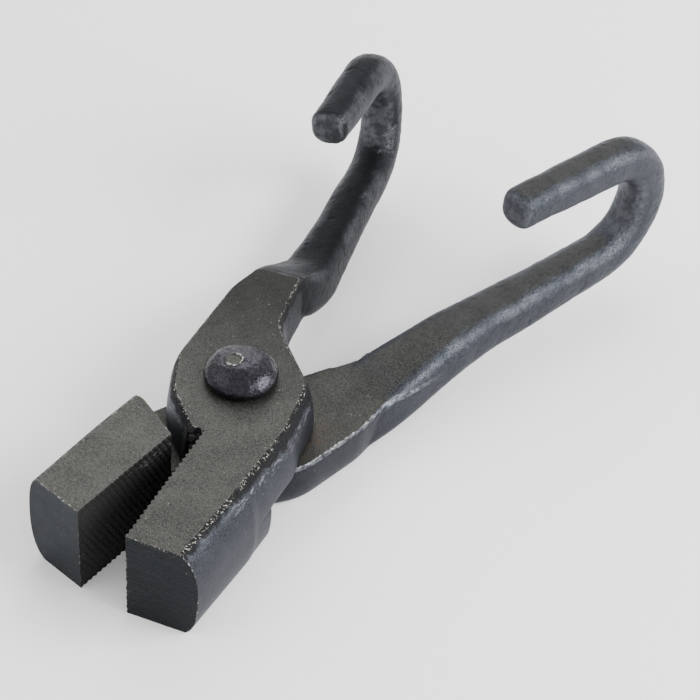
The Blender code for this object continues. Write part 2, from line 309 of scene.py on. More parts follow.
def handle_path(stations, hook):
    """Centres and sizes along a handle and its hook, and the direction across the hook's bend."""
    radius, bend, lean, tip, bend_size, tip_size = hook
    path = []
    for k in range(STATION_STEPS * (len(stations) - 1) + 1):
        values = between_stations(stations, k / STATION_STEPS)
        path.append((Vector(values[:3]), *values[3:]))
    run = (Vector(stations[-1][:2]) - Vector(stations[-2][:2])).normalized().to_3d()
    sideways = Vector((run.y, -run.x, 0))
    up = Vector((0, 0, cos(radians(lean)))) - sideways * sin(radians(lean))
    start, width, height, square = path[-1]
    for k in range(1, HOOK_STEPS + 1):
        angle = radians(bend) * k / HOOK_STEPS
        size = 1 + (bend_size - 1) * k / HOOK_STEPS
        spot = start + run * (radius * sin(angle)) + up * (radius * (1 - cos(angle)))
        path.append((spot, width * size, height * size, square))
    bend_end = path[-1][0]
    back = run * cos(radians(bend)) + up * sin(radians(bend))
    for share in (0.25, 0.5, 0.75, 1.0):
        size = bend_size + (tip_size - bend_size) * share
        spot = bend_end + back * ((tip - TIP_ROUNDING) * share)
        path.append((spot, width * size, height * size, square))
    end, width, height, square = path[-1]
    for k in range(1, TIP_STEPS + 1):
        angle = radians(TIP_STEP_ANGLE * k)
        inset = TIP_ROUNDING * (1 - cos(angle))
        spot = end + back * (TIP_ROUNDING * sin(angle))
        path.append((spot, width - inset, height - inset, square))
    return path, run.cross(up).normalized()


# Building and machining

def step(low, high, value):
    """0 below low, 1 above high and a smooth rise between."""
    share = min(1.0, max(0.0, (value - low) / (high - low)))
    return share * share * (3 - 2 * share)


def link(name, data):
    """A new object in the scene, with this mesh, light or camera."""
    thing = bpy.data.objects.new(name, data)
    bpy.context.scene.collection.objects.link(thing)
    return thing


def mesh_of(name, bm):
    """A linked object from a bmesh, with its faces turned out."""
    bmesh.ops.remove_doubles(bm, verts=bm.verts, dist=0.0005)
    bmesh.ops.recalc_face_normals(bm, faces=bm.faces)
    mesh = bpy.data.meshes.new(name)
    bm.to_mesh(mesh)
    bm.free()
    return link(name, mesh)


def settle(thing):
    """Applies the object's modifiers."""
    bpy.context.view_layer.update()
    depsgraph = bpy.context.evaluated_depsgraph_get()
    mesh = bpy.data.meshes.new_from_object(thing.evaluated_get(depsgraph))
    thing.modifiers.clear()
    thing.data = mesh
    return thing


def cut(thing, cutter):
    """Takes a closed cutter away from a piece. The cutter is then thrown away."""
    modifier = thing.modifiers.new("cut", "BOOLEAN")
    modifier.operation = "DIFFERENCE"
    modifier.solver = "MANIFOLD"
    modifier.object = cutter
    settle(thing)
    bpy.data.objects.remove(cutter, do_unlink=True)


def block(low, high):
    """A box cutter between two corners."""
    bm = bmesh.new()
    bmesh.ops.create_cube(bm, size=1.0)
    low, high = Vector(low), Vector(high)
    for vert in bm.verts:
        vert.co = (low + high) / 2 + vert.co * (high - low)
    return mesh_of("block", bm)


def upright_block(outline, low, high):
    """A straight-sided cutter with this outline."""
    bm = bmesh.new()
    base = bm.faces.new([bm.verts.new((x, y, low)) for x, y in outline])
    raised = bmesh.ops.extrude_face_region(bm, geom=[base])["geom"]
    verts = [item for item in raised if isinstance(item, bmesh.types.BMVert)]
    bmesh.ops.translate(bm, vec=(0, 0, high - low), verts=verts)
    return mesh_of("upright_block", bm)


def cylinder(radius, low, high):
    """A round cutter on the pivot axis."""
    bm = bmesh.new()
    bmesh.ops.create_cone(
        bm, cap_ends=True, segments=TURNED_POINTS, radius1=radius, radius2=radius, depth=high - low
    )
    bmesh.ops.translate(bm, vec=(0, 0, (low + high) / 2), verts=bm.verts)
    return mesh_of("cylinder", bm)


def turn_over(thing):
    """Turns a forging or a cutter over, about the Y axis."""
    thing.data.transform(Matrix.Rotation(pi, 4, "Y"))
    return thing


def forged_head(corners):
    """The head's blank, a little higher than the finished head."""
    outline = rounded_outline(corners)
    top = HALF_HEIGHT + GRIND_STOCK
    count = round(2 * top / LEVEL_STEP)
    rings = []
    for k in range(count + 1):
        z = top * (2 * k / count - 1)
        strip = max(0.0, TRIM_DEPTH - abs(z) * TRIM_SLOPE)
        ring = []
        for corner, push in outline:
            trim = push.normalized() * (step(-30, -18, corner.y) * strip)
            spot = corner + push * swell(z) - trim
            ring.append((spot.x, spot.y, z))
        rings.append(ring)
    bm = bmesh.new()
    loft(bm, rings)
    return mesh_of("head", bm)


def forged_bar(stations, hook):
    """The handle's blank."""
    path, across_bend = handle_path(stations, hook)
    rings = []
    for k, (centre, width, height, square) in enumerate(path):
        along = (path[min(k + 1, len(path) - 1)][0] - path[max(k - 1, 0)][0]).normalized()
        across = (across_bend - along * across_bend.dot(along)).normalized()
        rings.append(rounded_section(centre, across, across.cross(along), width, height, square))
    bm = bmesh.new()
    loft(bm, rings)
    return mesh_of("bar", bm)


def fuse_modifiers(thing, voxel, steps):
    """Makes one closed skin of overlapping shells, and rubs it smooth."""
    remesh = thing.modifiers.new("fuse", "REMESH")
    remesh.mode = "VOXEL"
    remesh.voxel_size = voxel
    smooth = thing.modifiers.new("rub", "SMOOTH")
    smooth.factor = SMOOTH_SHARE
    smooth.iterations = steps
    return settle(thing)


def fuse(name, pieces):
    """One forging from overlapping pieces, with the joins between them rubbed smooth."""
    bm = bmesh.new()
    for piece in pieces:
        bm.from_mesh(piece.data)
        bpy.data.objects.remove(piece, do_unlink=True)
    mesh = bpy.data.meshes.new(name)
    bm.to_mesh(mesh)
    bm.free()
    return fuse_modifiers(link(name, mesh), VOXEL, SMOOTH_STEPS)


def tooth_cutter(face, depth_front, depth_rear):
    """What two crossing rows of grooves take out of a jaw: a sheet that leaves pyramid teeth."""
    lean = TOOTH_PITCH / TOOTH_RISE
    bm = bmesh.new()
    corners = {}

    def depth_at(y):
        depth = depth_front + (depth_rear - depth_front) * step(-84, -50, y)
        return depth * (0.5 + 0.5 * step(-90, -84, y))

    def corner(i, j):
        if (i, j) not in corners:
            y = TOOTH_PITCH * (i + j) / 4
            z = HALF_HEIGHT - TOOTH_PITCH * (i - j) / 4 / lean
            sunk = (i % 2, j % 2) == (0, 0)
            x = face + (depth_at(y) if sunk else 0)
            corners[i, j] = bm.verts.new((x, y, z))
        return corners[i, j]

    def in_jaw(y, z):
        return TEETH_FRONT - 3 < y < TEETH_REAR and abs(z) < HALF_HEIGHT + CLEAR

    rows = round(4 * 2 * HALF_HEIGHT * lean / TOOTH_PITCH / 2)
    front = round(2 * TEETH_FRONT / TOOTH_PITCH)
    rear = round(2 * TEETH_REAR / TOOTH_PITCH)
    for i in range(front - 2 * rows, rear + 2 * rows):
        for j in range(front - 2 * rows, rear + 2 * rows):
            if i % 2 == 0 or j % 2 == 0:
                continue
            y = TOOTH_PITCH * (i + j) / 4
            z = HALF_HEIGHT - TOOTH_PITCH * (i - j) / 4 / lean
            if not in_jaw(y, z):
                continue
            peak = corner(i, j)
            ways = ((-1, -1), (1, -1), (1, 1), (-1, 1))
            ring = [corner(i + across, j + along) for across, along in ways]
            for k in range(4):
                bm.faces.new((peak, ring[k], ring[(k + 1) % 4]))
    edges = [edge for edge in bm.edges if edge.is_boundary]
    skirt = bmesh.ops.extrude_edge_only(bm, edges=edges)["geom"]
    rim = [item for item in skirt if isinstance(item, bmesh.types.BMVert)]
    for vert in rim:
        vert.co.x = face - CLEAR
    skirt_edges = [item for item in skirt if isinstance(item, bmesh.types.BMEdge)]
    bmesh.ops.contextual_create(bm, geom=[edge for edge in skirt_edges if edge.is_boundary])
    return mesh_of("teeth", bm)


def slope_cutter(left, right, run, drop):
    """What is dressed off behind the boss: a hollow slope from a crest down to the handle."""
    left, right = Vector(left), Vector(right)
    crest = (right - left).normalized()
    back = Vector((-crest.y, crest.x))
    profile = []
    for k in range(SLOPE_STEPS + 1):
        share = k / SLOPE_STEPS
        profile.append((run * share, HALF_HEIGHT - drop * (1 - (1 - share) ** SLOPE_HOLLOW)))
    end = run + SLOPE_BEYOND
    top = HALF_HEIGHT + CLEAR
    profile += [(end, HALF_HEIGHT - drop), (end, top)]
    profile += [(-SLOPE_LEAD, top), (-SLOPE_LEAD, HALF_HEIGHT + 0.01)]
    bm = bmesh.new()
    rings = []
    for side in (left - crest * SLOPE_LEFT_MARGIN, right + crest * SLOPE_RIGHT_MARGIN):
        rings.append([(*(side + back * along), z) for along, z in profile])
    loft(bm, rings)
    return mesh_of("slope", bm)


def put(thing, matrix):
    """Scales a finished piece to metres and puts it where the CAD has it."""
    thing.data.transform(matrix @ Matrix.Scale(MM, 4))


def spots_of(thing):
    """The places and normals of a piece's vertices."""
    spots = [vert.co.copy() for vert in thing.data.vertices]
    normals = [normal.vector.copy() for normal in thing.data.vertex_normals]
    return spots, normals


def move_to(thing, spots):
    """Moves a piece's vertices."""
    thing.data.vertices.foreach_set("co", [value for spot in spots for value in spot])
    thing.data.update()


def uneven(spot, kind):
    """Noise of one kind's size and depth at a spot."""
    size, depth = kind
    return noise.noise(spot / size) * depth


def skin(thing, start, full):
    """Gives a forging its scaly, hammered skin, which grows along the arm from start to full."""
    spots, normals = spots_of(thing)
    moved = []
    grainward = Matrix.Rotation(0.7, 3, Vector((1, 2, 3)))
    pit_size, pit_depth = PITS
    fin_size, fin_height = FINS
    for spot, normal in zip(spots, normals):
        rough = HEAD_ROUGHNESS + (1 - HEAD_ROUGHNESS) * step(start, full, spot.y)
        turned = grainward @ spot
        lumps = uneven(spot, LUMPS) + uneven(turned, DENTS)
        scale = uneven(turned, SCALES) - HANDLE_SINK * step(80, 120, spot.y)
        pit = noise.noise(spot / pit_size + Vector((40, 0, 0))) - PIT_LEVEL
        lift = rough * (lumps + scale - max(0.0, pit) * pit_depth)
        if abs(normal.z) < 0.6 and spot.y < 62:
            fin = step(0.0, 0.35, noise.noise(spot / fin_size + Vector((0, 9, 0))))
            fin *= step(-20, 10, spot.y) * max(0.0, 1 - abs(abs(spot.z) - 0.7) / 0.6)
            lift += fin_height * fin
        moved.append(spot + normal * lift)
    move_to(thing, moved)


def extended(corners):
    """The blank's outline: the finished one with stock left on the front and the gripping face."""
    stocked = []
    for x, y, radius, side in corners:
        if y < -80:
            y -= FACE_STOCK
        if x < 1 and y < -60:
            x -= FACE_STOCK
        stocked.append((x, y, radius, side))
    return stocked


def front_cutter(corners):
    """Everything in front of the jaw's front face."""
    (x0, y0), (x1, y1) = corners[0][:2], corners[1][:2]
    y0 += FRONT_TRIM
    y1 += FRONT_TRIM
    slope = (y1 - y0) / (x1 - x0)
    outline = [
        (FRONT_LEFT, y0 + slope * (FRONT_LEFT - x0)),
        (FRONT_LEFT, CUTTER_FRONT),
        (FRONT_RIGHT, CUTTER_FRONT),
        (FRONT_RIGHT, y0 + slope * (FRONT_RIGHT - x0)),
    ]
    return upright_block(outline, -HALF_HEIGHT - CLEAR, HALF_HEIGHT + CLEAR)


def lap_cutter(shoulder, stock, rear, height):
    """What is left out of the half of a head that the other arm laps, from its shoulder back."""
    corners = [(x, y + stock, radius, 0.0) for x, y, radius in shoulder]
    corners += [(FAR, rear, 0.0, 0.0), (-FAR, rear, 0.0, 0.0)]
    outline = [tuple(spot) for spot, push in rounded_outline(corners)]
    return upright_block(outline, -HALF_HEIGHT - CLEAR, height)


def machined_arm(name, corners, shoulder, lap_rear, stations, hook, crest, over, teeth, skin_span):
    """One finished arm. One that is over has its head and its cutters made boss up, and then turned."""
    top = HALF_HEIGHT + CLEAR
    head = forged_head(extended(corners))
    cut(head, lap_cutter(shoulder, SHOULDER_STOCK, lap_rear, BLANK_LAP_HEIGHT))
    cut(head, block((-FAR, lap_rear - BLANK_LAP_LEAD, -top), (FAR, FAR, LAP_GAP / 2)))
    if over:
        turn_over(head)
        stations = [(-station[0], *station[1:]) for station in stations]
        hook = (hook[0], hook[1], -hook[2], *hook[3:])
    arm = fuse(name, [head, forged_bar(stations, hook)])
    skin(arm, *skin_span)
    cutters = [
        block((-CUTTER_SIDE, CUTTER_FRONT, HALF_HEIGHT), (CUTTER_SIDE, FLAT_REAR, top)),
        block((-CUTTER_SIDE, CUTTER_FRONT, -top), (CUTTER_SIDE, LAP_SIDE_FLAT_REAR, -HALF_HEIGHT)),
        front_cutter(corners),
        tooth_cutter(corners[0][0], *teeth),
        lap_cutter(shoulder, 0.0, lap_rear, LAP_GAP / 2),
        cylinder(BORE_RADIUS, -top, top),
        slope_cutter(*crest),
    ]
    for cutter in cutters:
        cut(arm, turn_over(cutter) if over else cutter)
    front = (Vector(corners[1][:2]) - Vector(corners[0][:2])).normalized()
    front_normal = Vector((front.y, -front.x, 0))
    front_reach = front_normal.dot(Vector((corners[0][0], corners[0][1] + FRONT_TRIM, 0)))
    turn = Matrix.Rotation(pi, 3, "Y") if over else Matrix.Identity(3)
    planes = [
        (turn @ Vector((0, 0, 1)), HALF_HEIGHT),
        (turn @ Vector((0, 0, -1)), HALF_HEIGHT),
        (turn @ Vector((0, 0, -1)), -LAP_GAP / 2),
        (turn @ front_normal, front_reach),
    ]
    shade(arm, planes)
    return arm


def shade(thing, planes):
    """Smooth shading, except on the machined planes: each a normal and a distance."""
    mesh = thing.data
    mesh.shade_smooth()
    mesh.set_sharp_from_angle(angle=radians(34))
    count = len(mesh.polygons)
    normals = np.empty(count * 3)
    centres = np.empty(count * 3)
    mesh.polygons.foreach_get("normal", normals)
    mesh.polygons.foreach_get("center", centres)
    normals = normals.reshape(-1, 3)
    centres = centres.reshape(-1, 3)
    flat = np.zeros(count, bool)
    for normal, reach in planes:
        direction = np.array(normal)
        flat |= (normals @ direction > 0.9995) & (abs(centres @ direction - reach) < 0.01)
    sizes = np.empty(count, np.int32)
    mesh.polygons.foreach_get("loop_total", sizes)
    edge_of_loop = np.empty(len(mesh.loops), np.int32)
    mesh.loops.foreach_get("edge_index", edge_of_loop)
    flats_at_edge = np.bincount(
        edge_of_loop, weights=np.repeat(flat, sizes), minlength=len(mesh.edges)
    )
    sharp = np.empty(len(mesh.edges), bool)
    mesh.edges.foreach_get("use_edge_sharp", sharp)
    mesh.edges.foreach_set("use_edge_sharp", sharp | (flats_at_edge == 1))
    mesh.polygons.foreach_set("use_smooth", ~flat)
    mesh.update()


def rivet_piece():
    """The rivet: a turned blank whose dome is peened, with the hammer's last flat left of its top."""
    top = 2 * HALF_HEIGHT
    profile = []
    for k in range(DOME_STEPS + 1):
        angle = pi / 2 * k / DOME_STEPS
        height = top + DOME_BASE + DOME_HEIGHT * cos(angle) ** DOME_POWER
        profile.append((DOME_RADIUS * sin(angle), height))
    profile += [(13.5, top + 1.1), (12.6, top + 0.5), (11.6, top + RIVET_CLEAR)]
    profile += [(SHANK_RADIUS, top + RIVET_CLEAR), (SHANK_RADIUS, TAIL_HEIGHT)]
    profile += [(TAIL_RADIUS, 0.0), (0, 0.0)]
    bm = bmesh.new()
    row = [bm.verts.new((radius, 0, z)) for radius, z in profile]
    for low, high in zip(row, row[1:]):
        bm.edges.new((low, high))
    mesh = bpy.data.meshes.new("rivet")
    bm.to_mesh(mesh)
    bm.free()
    rivet = link("rivet_forging", mesh)
    screw = rivet.modifiers.new("turn", "SCREW")
    screw.steps = TURNED_POINTS
    screw.render_steps = TURNED_POINTS
    screw.use_merge_vertices = True
    screw.merge_threshold = 0.0001
    fuse_modifiers(rivet, RIVET_VOXEL, RIVET_SMOOTH_STEPS)
    blow = Vector((BLOW_X, BLOW_Y))
    spots, normals = spots_of(rivet)
    for spot, normal in zip(spots, normals):
        if spot.z < top + 1.0:
            continue
        away = (spot.xy - blow).length
        peen = noise.noise(spot / 4.2) * 0.24 + noise.noise(spot / 1.6) * 0.12
        burr = 0.6 + 0.8 * noise.noise(spot / 1.5)
        level = top + BLOW_HEIGHT + 0.05 * noise.noise(spot / 1.2)
        spot += normal * peen * step(top + 1.0, top + 4.0, spot.z)
        spot.z += (level - spot.z) * (1 - step(BLOW_RADIUS - 0.4, BLOW_RADIUS, away))
        spot.z += 0.24 * burr * max(0.0, 1 - abs(away - BLOW_RADIUS) / 0.7)
    move_to(rivet, spots)
    rivet.data.shade_smooth()
    rivet.data.set_sharp_from_angle(angle=radians(40))
    return rivet


upper = machined_arm(
    "upper_arm_forging", UPPER_OUTLINE, UPPER_SHOULDER, UPPER_LAP_REAR, UPPER_HANDLE, UPPER_HOOK,
    UPPER_CREST, False, UPPER_TEETH, UPPER_SKIN,
)
lower = machined_arm(
    "lower_arm_forging", LOWER_OUTLINE, LOWER_SHOULDER, LOWER_LAP_REAR, LOWER_HANDLE, LOWER_HOOK,
    LOWER_CREST, True, LOWER_TEETH, LOWER_SKIN,
)
rivet = rivet_piece()
for arm, side in ((upper, 1), (lower, -1)):
    turn = Matrix.Rotation(radians(JAW_OPENING / 2) * side, 4, "Z")
    put(arm, Matrix.Translation((0, 0, HALF_HEIGHT * MM)) @ turn)
put(rivet, Matrix.Identity(4))


# Materials

class Graph:
    """A short way to write a material's nodes."""

    def __init__(self, name):
        self.material = bpy.data.materials.new(name)
        self.material.use_nodes = True
        self.tree = self.material.node_tree
        self.shader = self.tree.nodes["Principled BSDF"]

    def node(self, kind, inputs=(), **settings):
        """A node with its settings made and its inputs joined or set."""
        made = self.tree.nodes.new(kind)
        for key, value in settings.items():
            setattr(made, key, value)
        for key, value in dict(inputs).items():
            self.join(value, made.inputs[key])
        return made

    def join(self, value, socket):
        """Joins another node's output to a socket, or sets the socket's value."""
        if isinstance(value, bpy.types.NodeSocket):
            self.tree.links.new(value, socket)
        elif socket.type == "RGBA" and len(value) == 3:
            socket.default_value = (*value, 1.0)
        else:
            socket.default_value = value

    def math(self, operation, a, b=0.0):
        """One operation on one or two numbers."""
        return self.node("ShaderNodeMath", {0: a, 1: b}, operation=operation).outputs[0]

    def plus(self, a, b):
        """The sum of two numbers."""
        return self.math("ADD", a, b)

    def times(self, a, *others):
        """The product of numbers, which is also where all of some masks are on."""
        for other in others:
            a = self.math("MULTIPLY", a, other)
        return a

    def either(self, a, b):
        """Where at least one of two masks is on."""
        return self.math("MAXIMUM", a, b)

    def off(self, mask):
        """Where a mask is not on."""
        return self.math("SUBTRACT", 1.0, mask)

    def rise(self, value, low, high):
        """0 below low, 1 above high, or the other way round."""
        ramp = self.node(
            "ShaderNodeMapRange", {"Value": value, "From Min": low, "From Max": high},
            interpolation_type="SMOOTHSTEP",
        )
        return ramp.outputs["Result"]

    def span(self, value, low, high, soft):
        """1 between low and high, 0 outside."""
        above = self.rise(value, low - soft, low + soft)
        below = self.rise(value, high + soft, high - soft)
        return self.times(above, below)

    def noise(self, where, scale, detail=2.0, rough=0.5, stretch=(1, 1, 1), distortion=0.0):
        """Noise with its mean near 0.5; scale is in waves to the millimetre."""
        spread = self.node("ShaderNodeVectorMath", {0: where, 1: stretch}, operation="MULTIPLY")
        made = self.node(
            "ShaderNodeTexNoise",
            {
                "Vector": spread.outputs[0], "Scale": scale, "Detail": detail,
                "Roughness": rough, "Distortion": distortion,
            },
        )
        return made.outputs["Fac"]

    def mix(self, share, a, b):
        """A mix of two colours."""
        made = self.node("ShaderNodeMix", {"Factor": share}, data_type="RGBA")
        self.join(a, made.inputs[6])
        self.join(b, made.inputs[7])
        return made.outputs[2]

    def blend(self, share, a, b):
        """A mix of two numbers."""
        made = self.node("ShaderNodeMix", {"Factor": share}, data_type="FLOAT")
        self.join(a, made.inputs[2])
        self.join(b, made.inputs[3])
        return made.outputs[0]

    def tint(self, colour, amount):
        """A colour made lighter or darker by a number near 1."""
        made = self.node("ShaderNodeVectorMath", {0: colour, "Scale": amount}, operation="SCALE")
        return made.outputs[0]

    def finished(self, tone, rough, height, strength, distance):
        """The material, with its tone, roughness and bumps joined to the shader."""
        bump = self.node(
            "ShaderNodeBump", {"Height": height, "Strength": strength, "Distance": distance}
        )
        self.join(tone, self.shader.inputs["Base Color"])
        self.join(rough, self.shader.inputs["Roughness"])
        self.join(bump.outputs[0], self.shader.inputs["Normal"])
        self.shader.inputs["Metallic"].default_value = METALLIC
        return self.material


METALLIC = 0.85
FORGED_SPECULAR_TINT = (0.77, 0.77, 0.80)
EDGE_RADIUS = 0.6
FORGED_BUMP = (0.9, 0.3)
PEENED_BUMP = (0.8, 0.2)

FLAT_TONE = (0.058, 0.058, 0.053)
# The sides' bluish cast is partly their ground finish and partly a painted reflection.
SIDE_TONE = (0.043, 0.047, 0.057)
BAND_TONE = (0.010, 0.010, 0.010)
FRONT_TONE = (0.036, 0.044, 0.050)
# GRIP_TONE is dark partly as oxide and partly as painted shade on the teeth.
GRIP_TONE = (0.030, 0.030, 0.029)
BARE_TONE = (0.48, 0.46, 0.41)
RUST_TONE = (0.062, 0.045, 0.033)
# The scuff tone also paints highlights on the handles' crowns and light on the hooks' ends.
SCUFF_AND_PAINTED_LIGHT_TONE = (0.16, 0.165, 0.182)
DOME_TONE = (0.024, 0.023, 0.029)
BLOW_TONE = (0.021, 0.023, 0.019)
BURR_TONE = (0.5, 0.5, 0.45)


def forged_steel(name, side, face, flat_shade_gains, flat_shade_change, side_shade_gains, front_shade_gain, handle_shade_cast):
    """Blackened steel: grained flats, satin sides, dark rough corners and bright worn edges.

    side is 1 for the upper arm and -1 for the lower one, and face is where its gripping face is. The
    gains paint light and shade: they lighten or darken the flats (before and after their change along
    the arm), the sides (of the head and of the handle) and the front, each arm by its own amounts. The
    last argument is how much the handle's top takes the sides' darker tone, as more painted shade.
    Places and sizes are in millimetres in the arm's own frame.
    """
    g = Graph(name)
    coords = g.node("ShaderNodeTexCoord").outputs
    back = (0, 0, -radians(JAW_OPENING / 2) * side)
    own = g.node(
        "ShaderNodeMapping",
        {
            "Vector": coords["Object"], "Location": (0, 0, -HALF_HEIGHT),
            "Rotation": back, "Scale": (1 / MM,) * 3,
        },
    ).outputs[0]
    facing = g.node(
        "ShaderNodeMapping", {"Vector": coords["Normal"], "Rotation": back}, vector_type="NORMAL"
    )
    x, y, z = g.node("ShaderNodeSeparateXYZ", {0: own}).outputs
    direction = g.node("ShaderNodeSeparateXYZ", {0: facing.outputs[0]}).outputs
    upward = direction[2]
    forward = g.times(direction[1], -1.0)

    # Masks of the machined and forged faces, and of the band under the upper edges of the sides.
    flat = g.rise(upward, 0.90, 0.985)
    head = g.rise(y, 64.0, 58.0)
    front = g.times(g.rise(forward, 0.93, 0.97), g.rise(y, -80.0, -84.0))
    jawward = g.times(x, float(side))
    in_grip = g.times(g.rise(jawward, face + 1.25, face + 1.0), g.rise(y, -30.0, -32.0))
    grip = g.times(in_grip, g.rise(upward, 0.95, 0.9), g.rise(forward, 0.95, 0.9))
    band_low = g.blend(g.rise(y, -70.0, -10.0), HALF_HEIGHT - 1.6, HALF_HEIGHT - 3.6)
    wander = g.times(g.plus(g.noise(own, 0.25, 3.0, 0.6), -0.5), 5.0)
    above = g.math("SUBTRACT", g.plus(z, wander), band_low)
    band = g.times(g.rise(above, -0.6, 0.6), g.off(flat), head, g.rise(forward, 0.9, 0.6))
    under = g.times(g.span(above, -3.2, -0.6, 0.8), g.off(flat), g.span(y, -60.0, 20.0, 8.0))

    # Noises: grain, clouds, the grinder's arcs, and scratches and streaks along the steel.
    grain = g.noise(own, 1.15, 3.0, 0.65)
    fine = g.noise(own, 2.3, 2.0, 0.6)
    clouds = g.noise(own, 0.09, 3.0, 0.55)
    arcs = g.node(
        "ShaderNodeTexWave",
        {"Vector": own, "Scale": 0.42, "Distortion": 3.0, "Detail": 2.0, "Detail Scale": 0.5},
        wave_type="RINGS", rings_direction="Z",
    ).outputs["Fac"]
    scratches = g.noise(own, 1.0, 4.0, 0.7, (0.10, 1.0, 2.6), 0.3)
    streaks = g.noise(own, 0.9, 3.0, 0.65, (1.0, 0.35, 1.0), 0.4)

    # The tones of the faces. Their gains along the arm and between the arms are painted light and
    # shade.
    speckle = g.plus(g.times(grain, 1.9), g.times(fine, 2.4))
    speckle = g.plus(speckle, g.times(clouds, 0.8))
    speckle = g.plus(speckle, g.times(arcs, 0.24, flat))
    speckle = g.either(g.plus(speckle, -1.64), 0.25)
    # Painted shade: the sides get lighter or darker along the arm, differently on each arm.
    side_tone = g.tint(SIDE_TONE, g.blend(g.rise(y, 20.0, 60.0), *side_shade_gains))
    # Painted shade: the flats get darker towards the handle, more on the upper arm.
    flat_tone = g.tint(FLAT_TONE, g.blend(g.rise(y, *flat_shade_change), *flat_shade_gains))
    # Painted shade: the handle's top takes the sides' darker tone, mostly on the upper arm.
    scale = g.times(g.rise(y, 62.0, 90.0), handle_shade_cast)
    flat_tone = g.mix(scale, flat_tone, g.tint(side_tone, 0.8))
    # The sides' bluish tone is partly the ground finish and partly a painted reflection.
    tone = g.mix(flat, side_tone, flat_tone)
    tone = g.mix(g.times(band, 0.9), tone, BAND_TONE)
    tone = g.tint(tone, speckle)
    front_tone = g.tint(FRONT_TONE, g.plus(g.times(scratches, 2.8), -0.4))
    # Painted shade: each arm's front is darkened by its own amount.
    tone = g.mix(front, tone, g.tint(front_tone, front_shade_gain))
    # The gripping face's dark tone is partly oxide and partly painted shade.
    tone = g.mix(grip, tone, g.tint(GRIP_TONE, g.plus(g.times(fine, 1.6), 0.2)))
    if side < 0:
        rust = g.times(g.span(x, 24.0, 33.0, 2.0), g.span(y, -6.0, 18.0, 5.0))
        rust = g.times(rust, g.rise(g.noise(own, 0.5, 3.0, 0.6), 0.4, 0.65))
        tone = g.mix(g.times(rust, 0.55), tone, RUST_TONE)

    # Bare steel: patches of specks on sharp edges, on the flats' rims, and a few dots on the head.
    edge_normal = g.node("ShaderNodeBevel", {"Radius": EDGE_RADIUS * MM}, samples=6).outputs[0]
    true_normal = g.node("ShaderNodeNewGeometry").outputs["Normal"]
    likeness = g.node(
        "ShaderNodeVectorMath", {0: edge_normal, 1: true_normal}, operation="DOT_PRODUCT"
    ).outputs["Value"]
    edge = g.times(g.rise(likeness, 0.998, 0.97), g.off(g.times(in_grip, g.rise(y, -86.5, -85.5))))
    specks = g.rise(g.noise(own, 0.95, 3.0, 0.65), 0.52, 0.6)
    patches = g.rise(g.noise(own, 0.10, 2.0, 0.5), 0.38, 0.55)
    worn = g.times(specks, patches, edge)
    rim = g.times(g.span(z, HALF_HEIGHT - 0.9, HALF_HEIGHT + 0.4, 0.2), g.rise(upward, 0.992, 0.97))
    rim = g.times(rim, head, g.off(in_grip))
    specks = g.rise(g.noise(own, 1.35, 3.0, 0.7), 0.565, 0.63)
    patches = g.rise(g.noise(own, 0.16, 2.0, 0.5), 0.36, 0.5)
    worn = g.either(worn, g.times(rim, specks, patches))
    dots = g.times(g.rise(g.noise(own, 1.1, 1.0, 0.5), 0.76, 0.82), 0.6)
    worn = g.either(worn, g.times(dots, head))

    # Scuffs under the band and on the lower lap's edge; painted light on handle crowns and hook ends.
    scuffs_and_painted_light = g.times(under, g.rise(streaks, 0.5, 0.66))
    if side < 0:
        lap_edge = g.times(g.span(z, -1.7, 0.3, 0.2), g.rise(x, 4.0, 8.0), g.span(y, -22.0, 66.0, 6.0))
        lap_edge = g.times(lap_edge, g.rise(upward, 0.97, 0.8), 0.7)
        scuffs_and_painted_light = g.either(scuffs_and_painted_light, g.times(lap_edge, g.rise(streaks, 0.38, 0.6)))
    # Painted highlights: the handles' crowns are lightened in grainy patches.
    crown = g.times(g.span(upward, 0.35, 0.85, 0.12), g.rise(y, 40.0, 70.0), 0.45)
    crown = g.times(crown, g.rise(fine, 0.44, 0.6), g.rise(clouds, 0.4, 0.6))
    scuffs_and_painted_light = g.either(scuffs_and_painted_light, crown)
    # Painted light: the forward-facing ends of the hooks are lightened in patches.
    rubbed = g.blend(g.rise(g.noise(own, 0.3, 3.0, 0.6), 0.4, 0.6), 0.25, 0.6)
    tip = g.times(g.rise(forward, 0.35, 0.8), g.rise(y, 100.0, 110.0), rubbed)
    scuffs_and_painted_light = g.either(scuffs_and_painted_light, tip)
    tone = g.mix(g.times(scuffs_and_painted_light, 0.8), tone, SCUFF_AND_PAINTED_LIGHT_TONE)
    tone = g.mix(g.times(worn, 0.8), tone, BARE_TONE)

    # Roughness and bumps.
    rough = g.blend(band, g.blend(flat, 0.40, 0.5), 0.6)
    rough = g.plus(rough, g.times(g.plus(grain, -0.5), 0.35))
    rough = g.blend(grip, rough, 0.7)
    bumps = g.plus(g.times(grain, 0.55), g.times(fine, 0.6))
    coarse = g.plus(g.blend(g.rise(y, 40.0, 80.0), 0.45, 1.0), g.times(band, 0.7))
    bumps = g.times(bumps, coarse)
    bumps = g.plus(bumps, g.times(arcs, flat, 0.10))
    bumps = g.plus(bumps, g.times(scratches, front, 0.5))
    g.shader.inputs["Specular Tint"].default_value = (*FORGED_SPECULAR_TINT, 1.0)
    strength, distance = FORGED_BUMP
    return g.finished(tone, rough, bumps, strength, distance * MM)


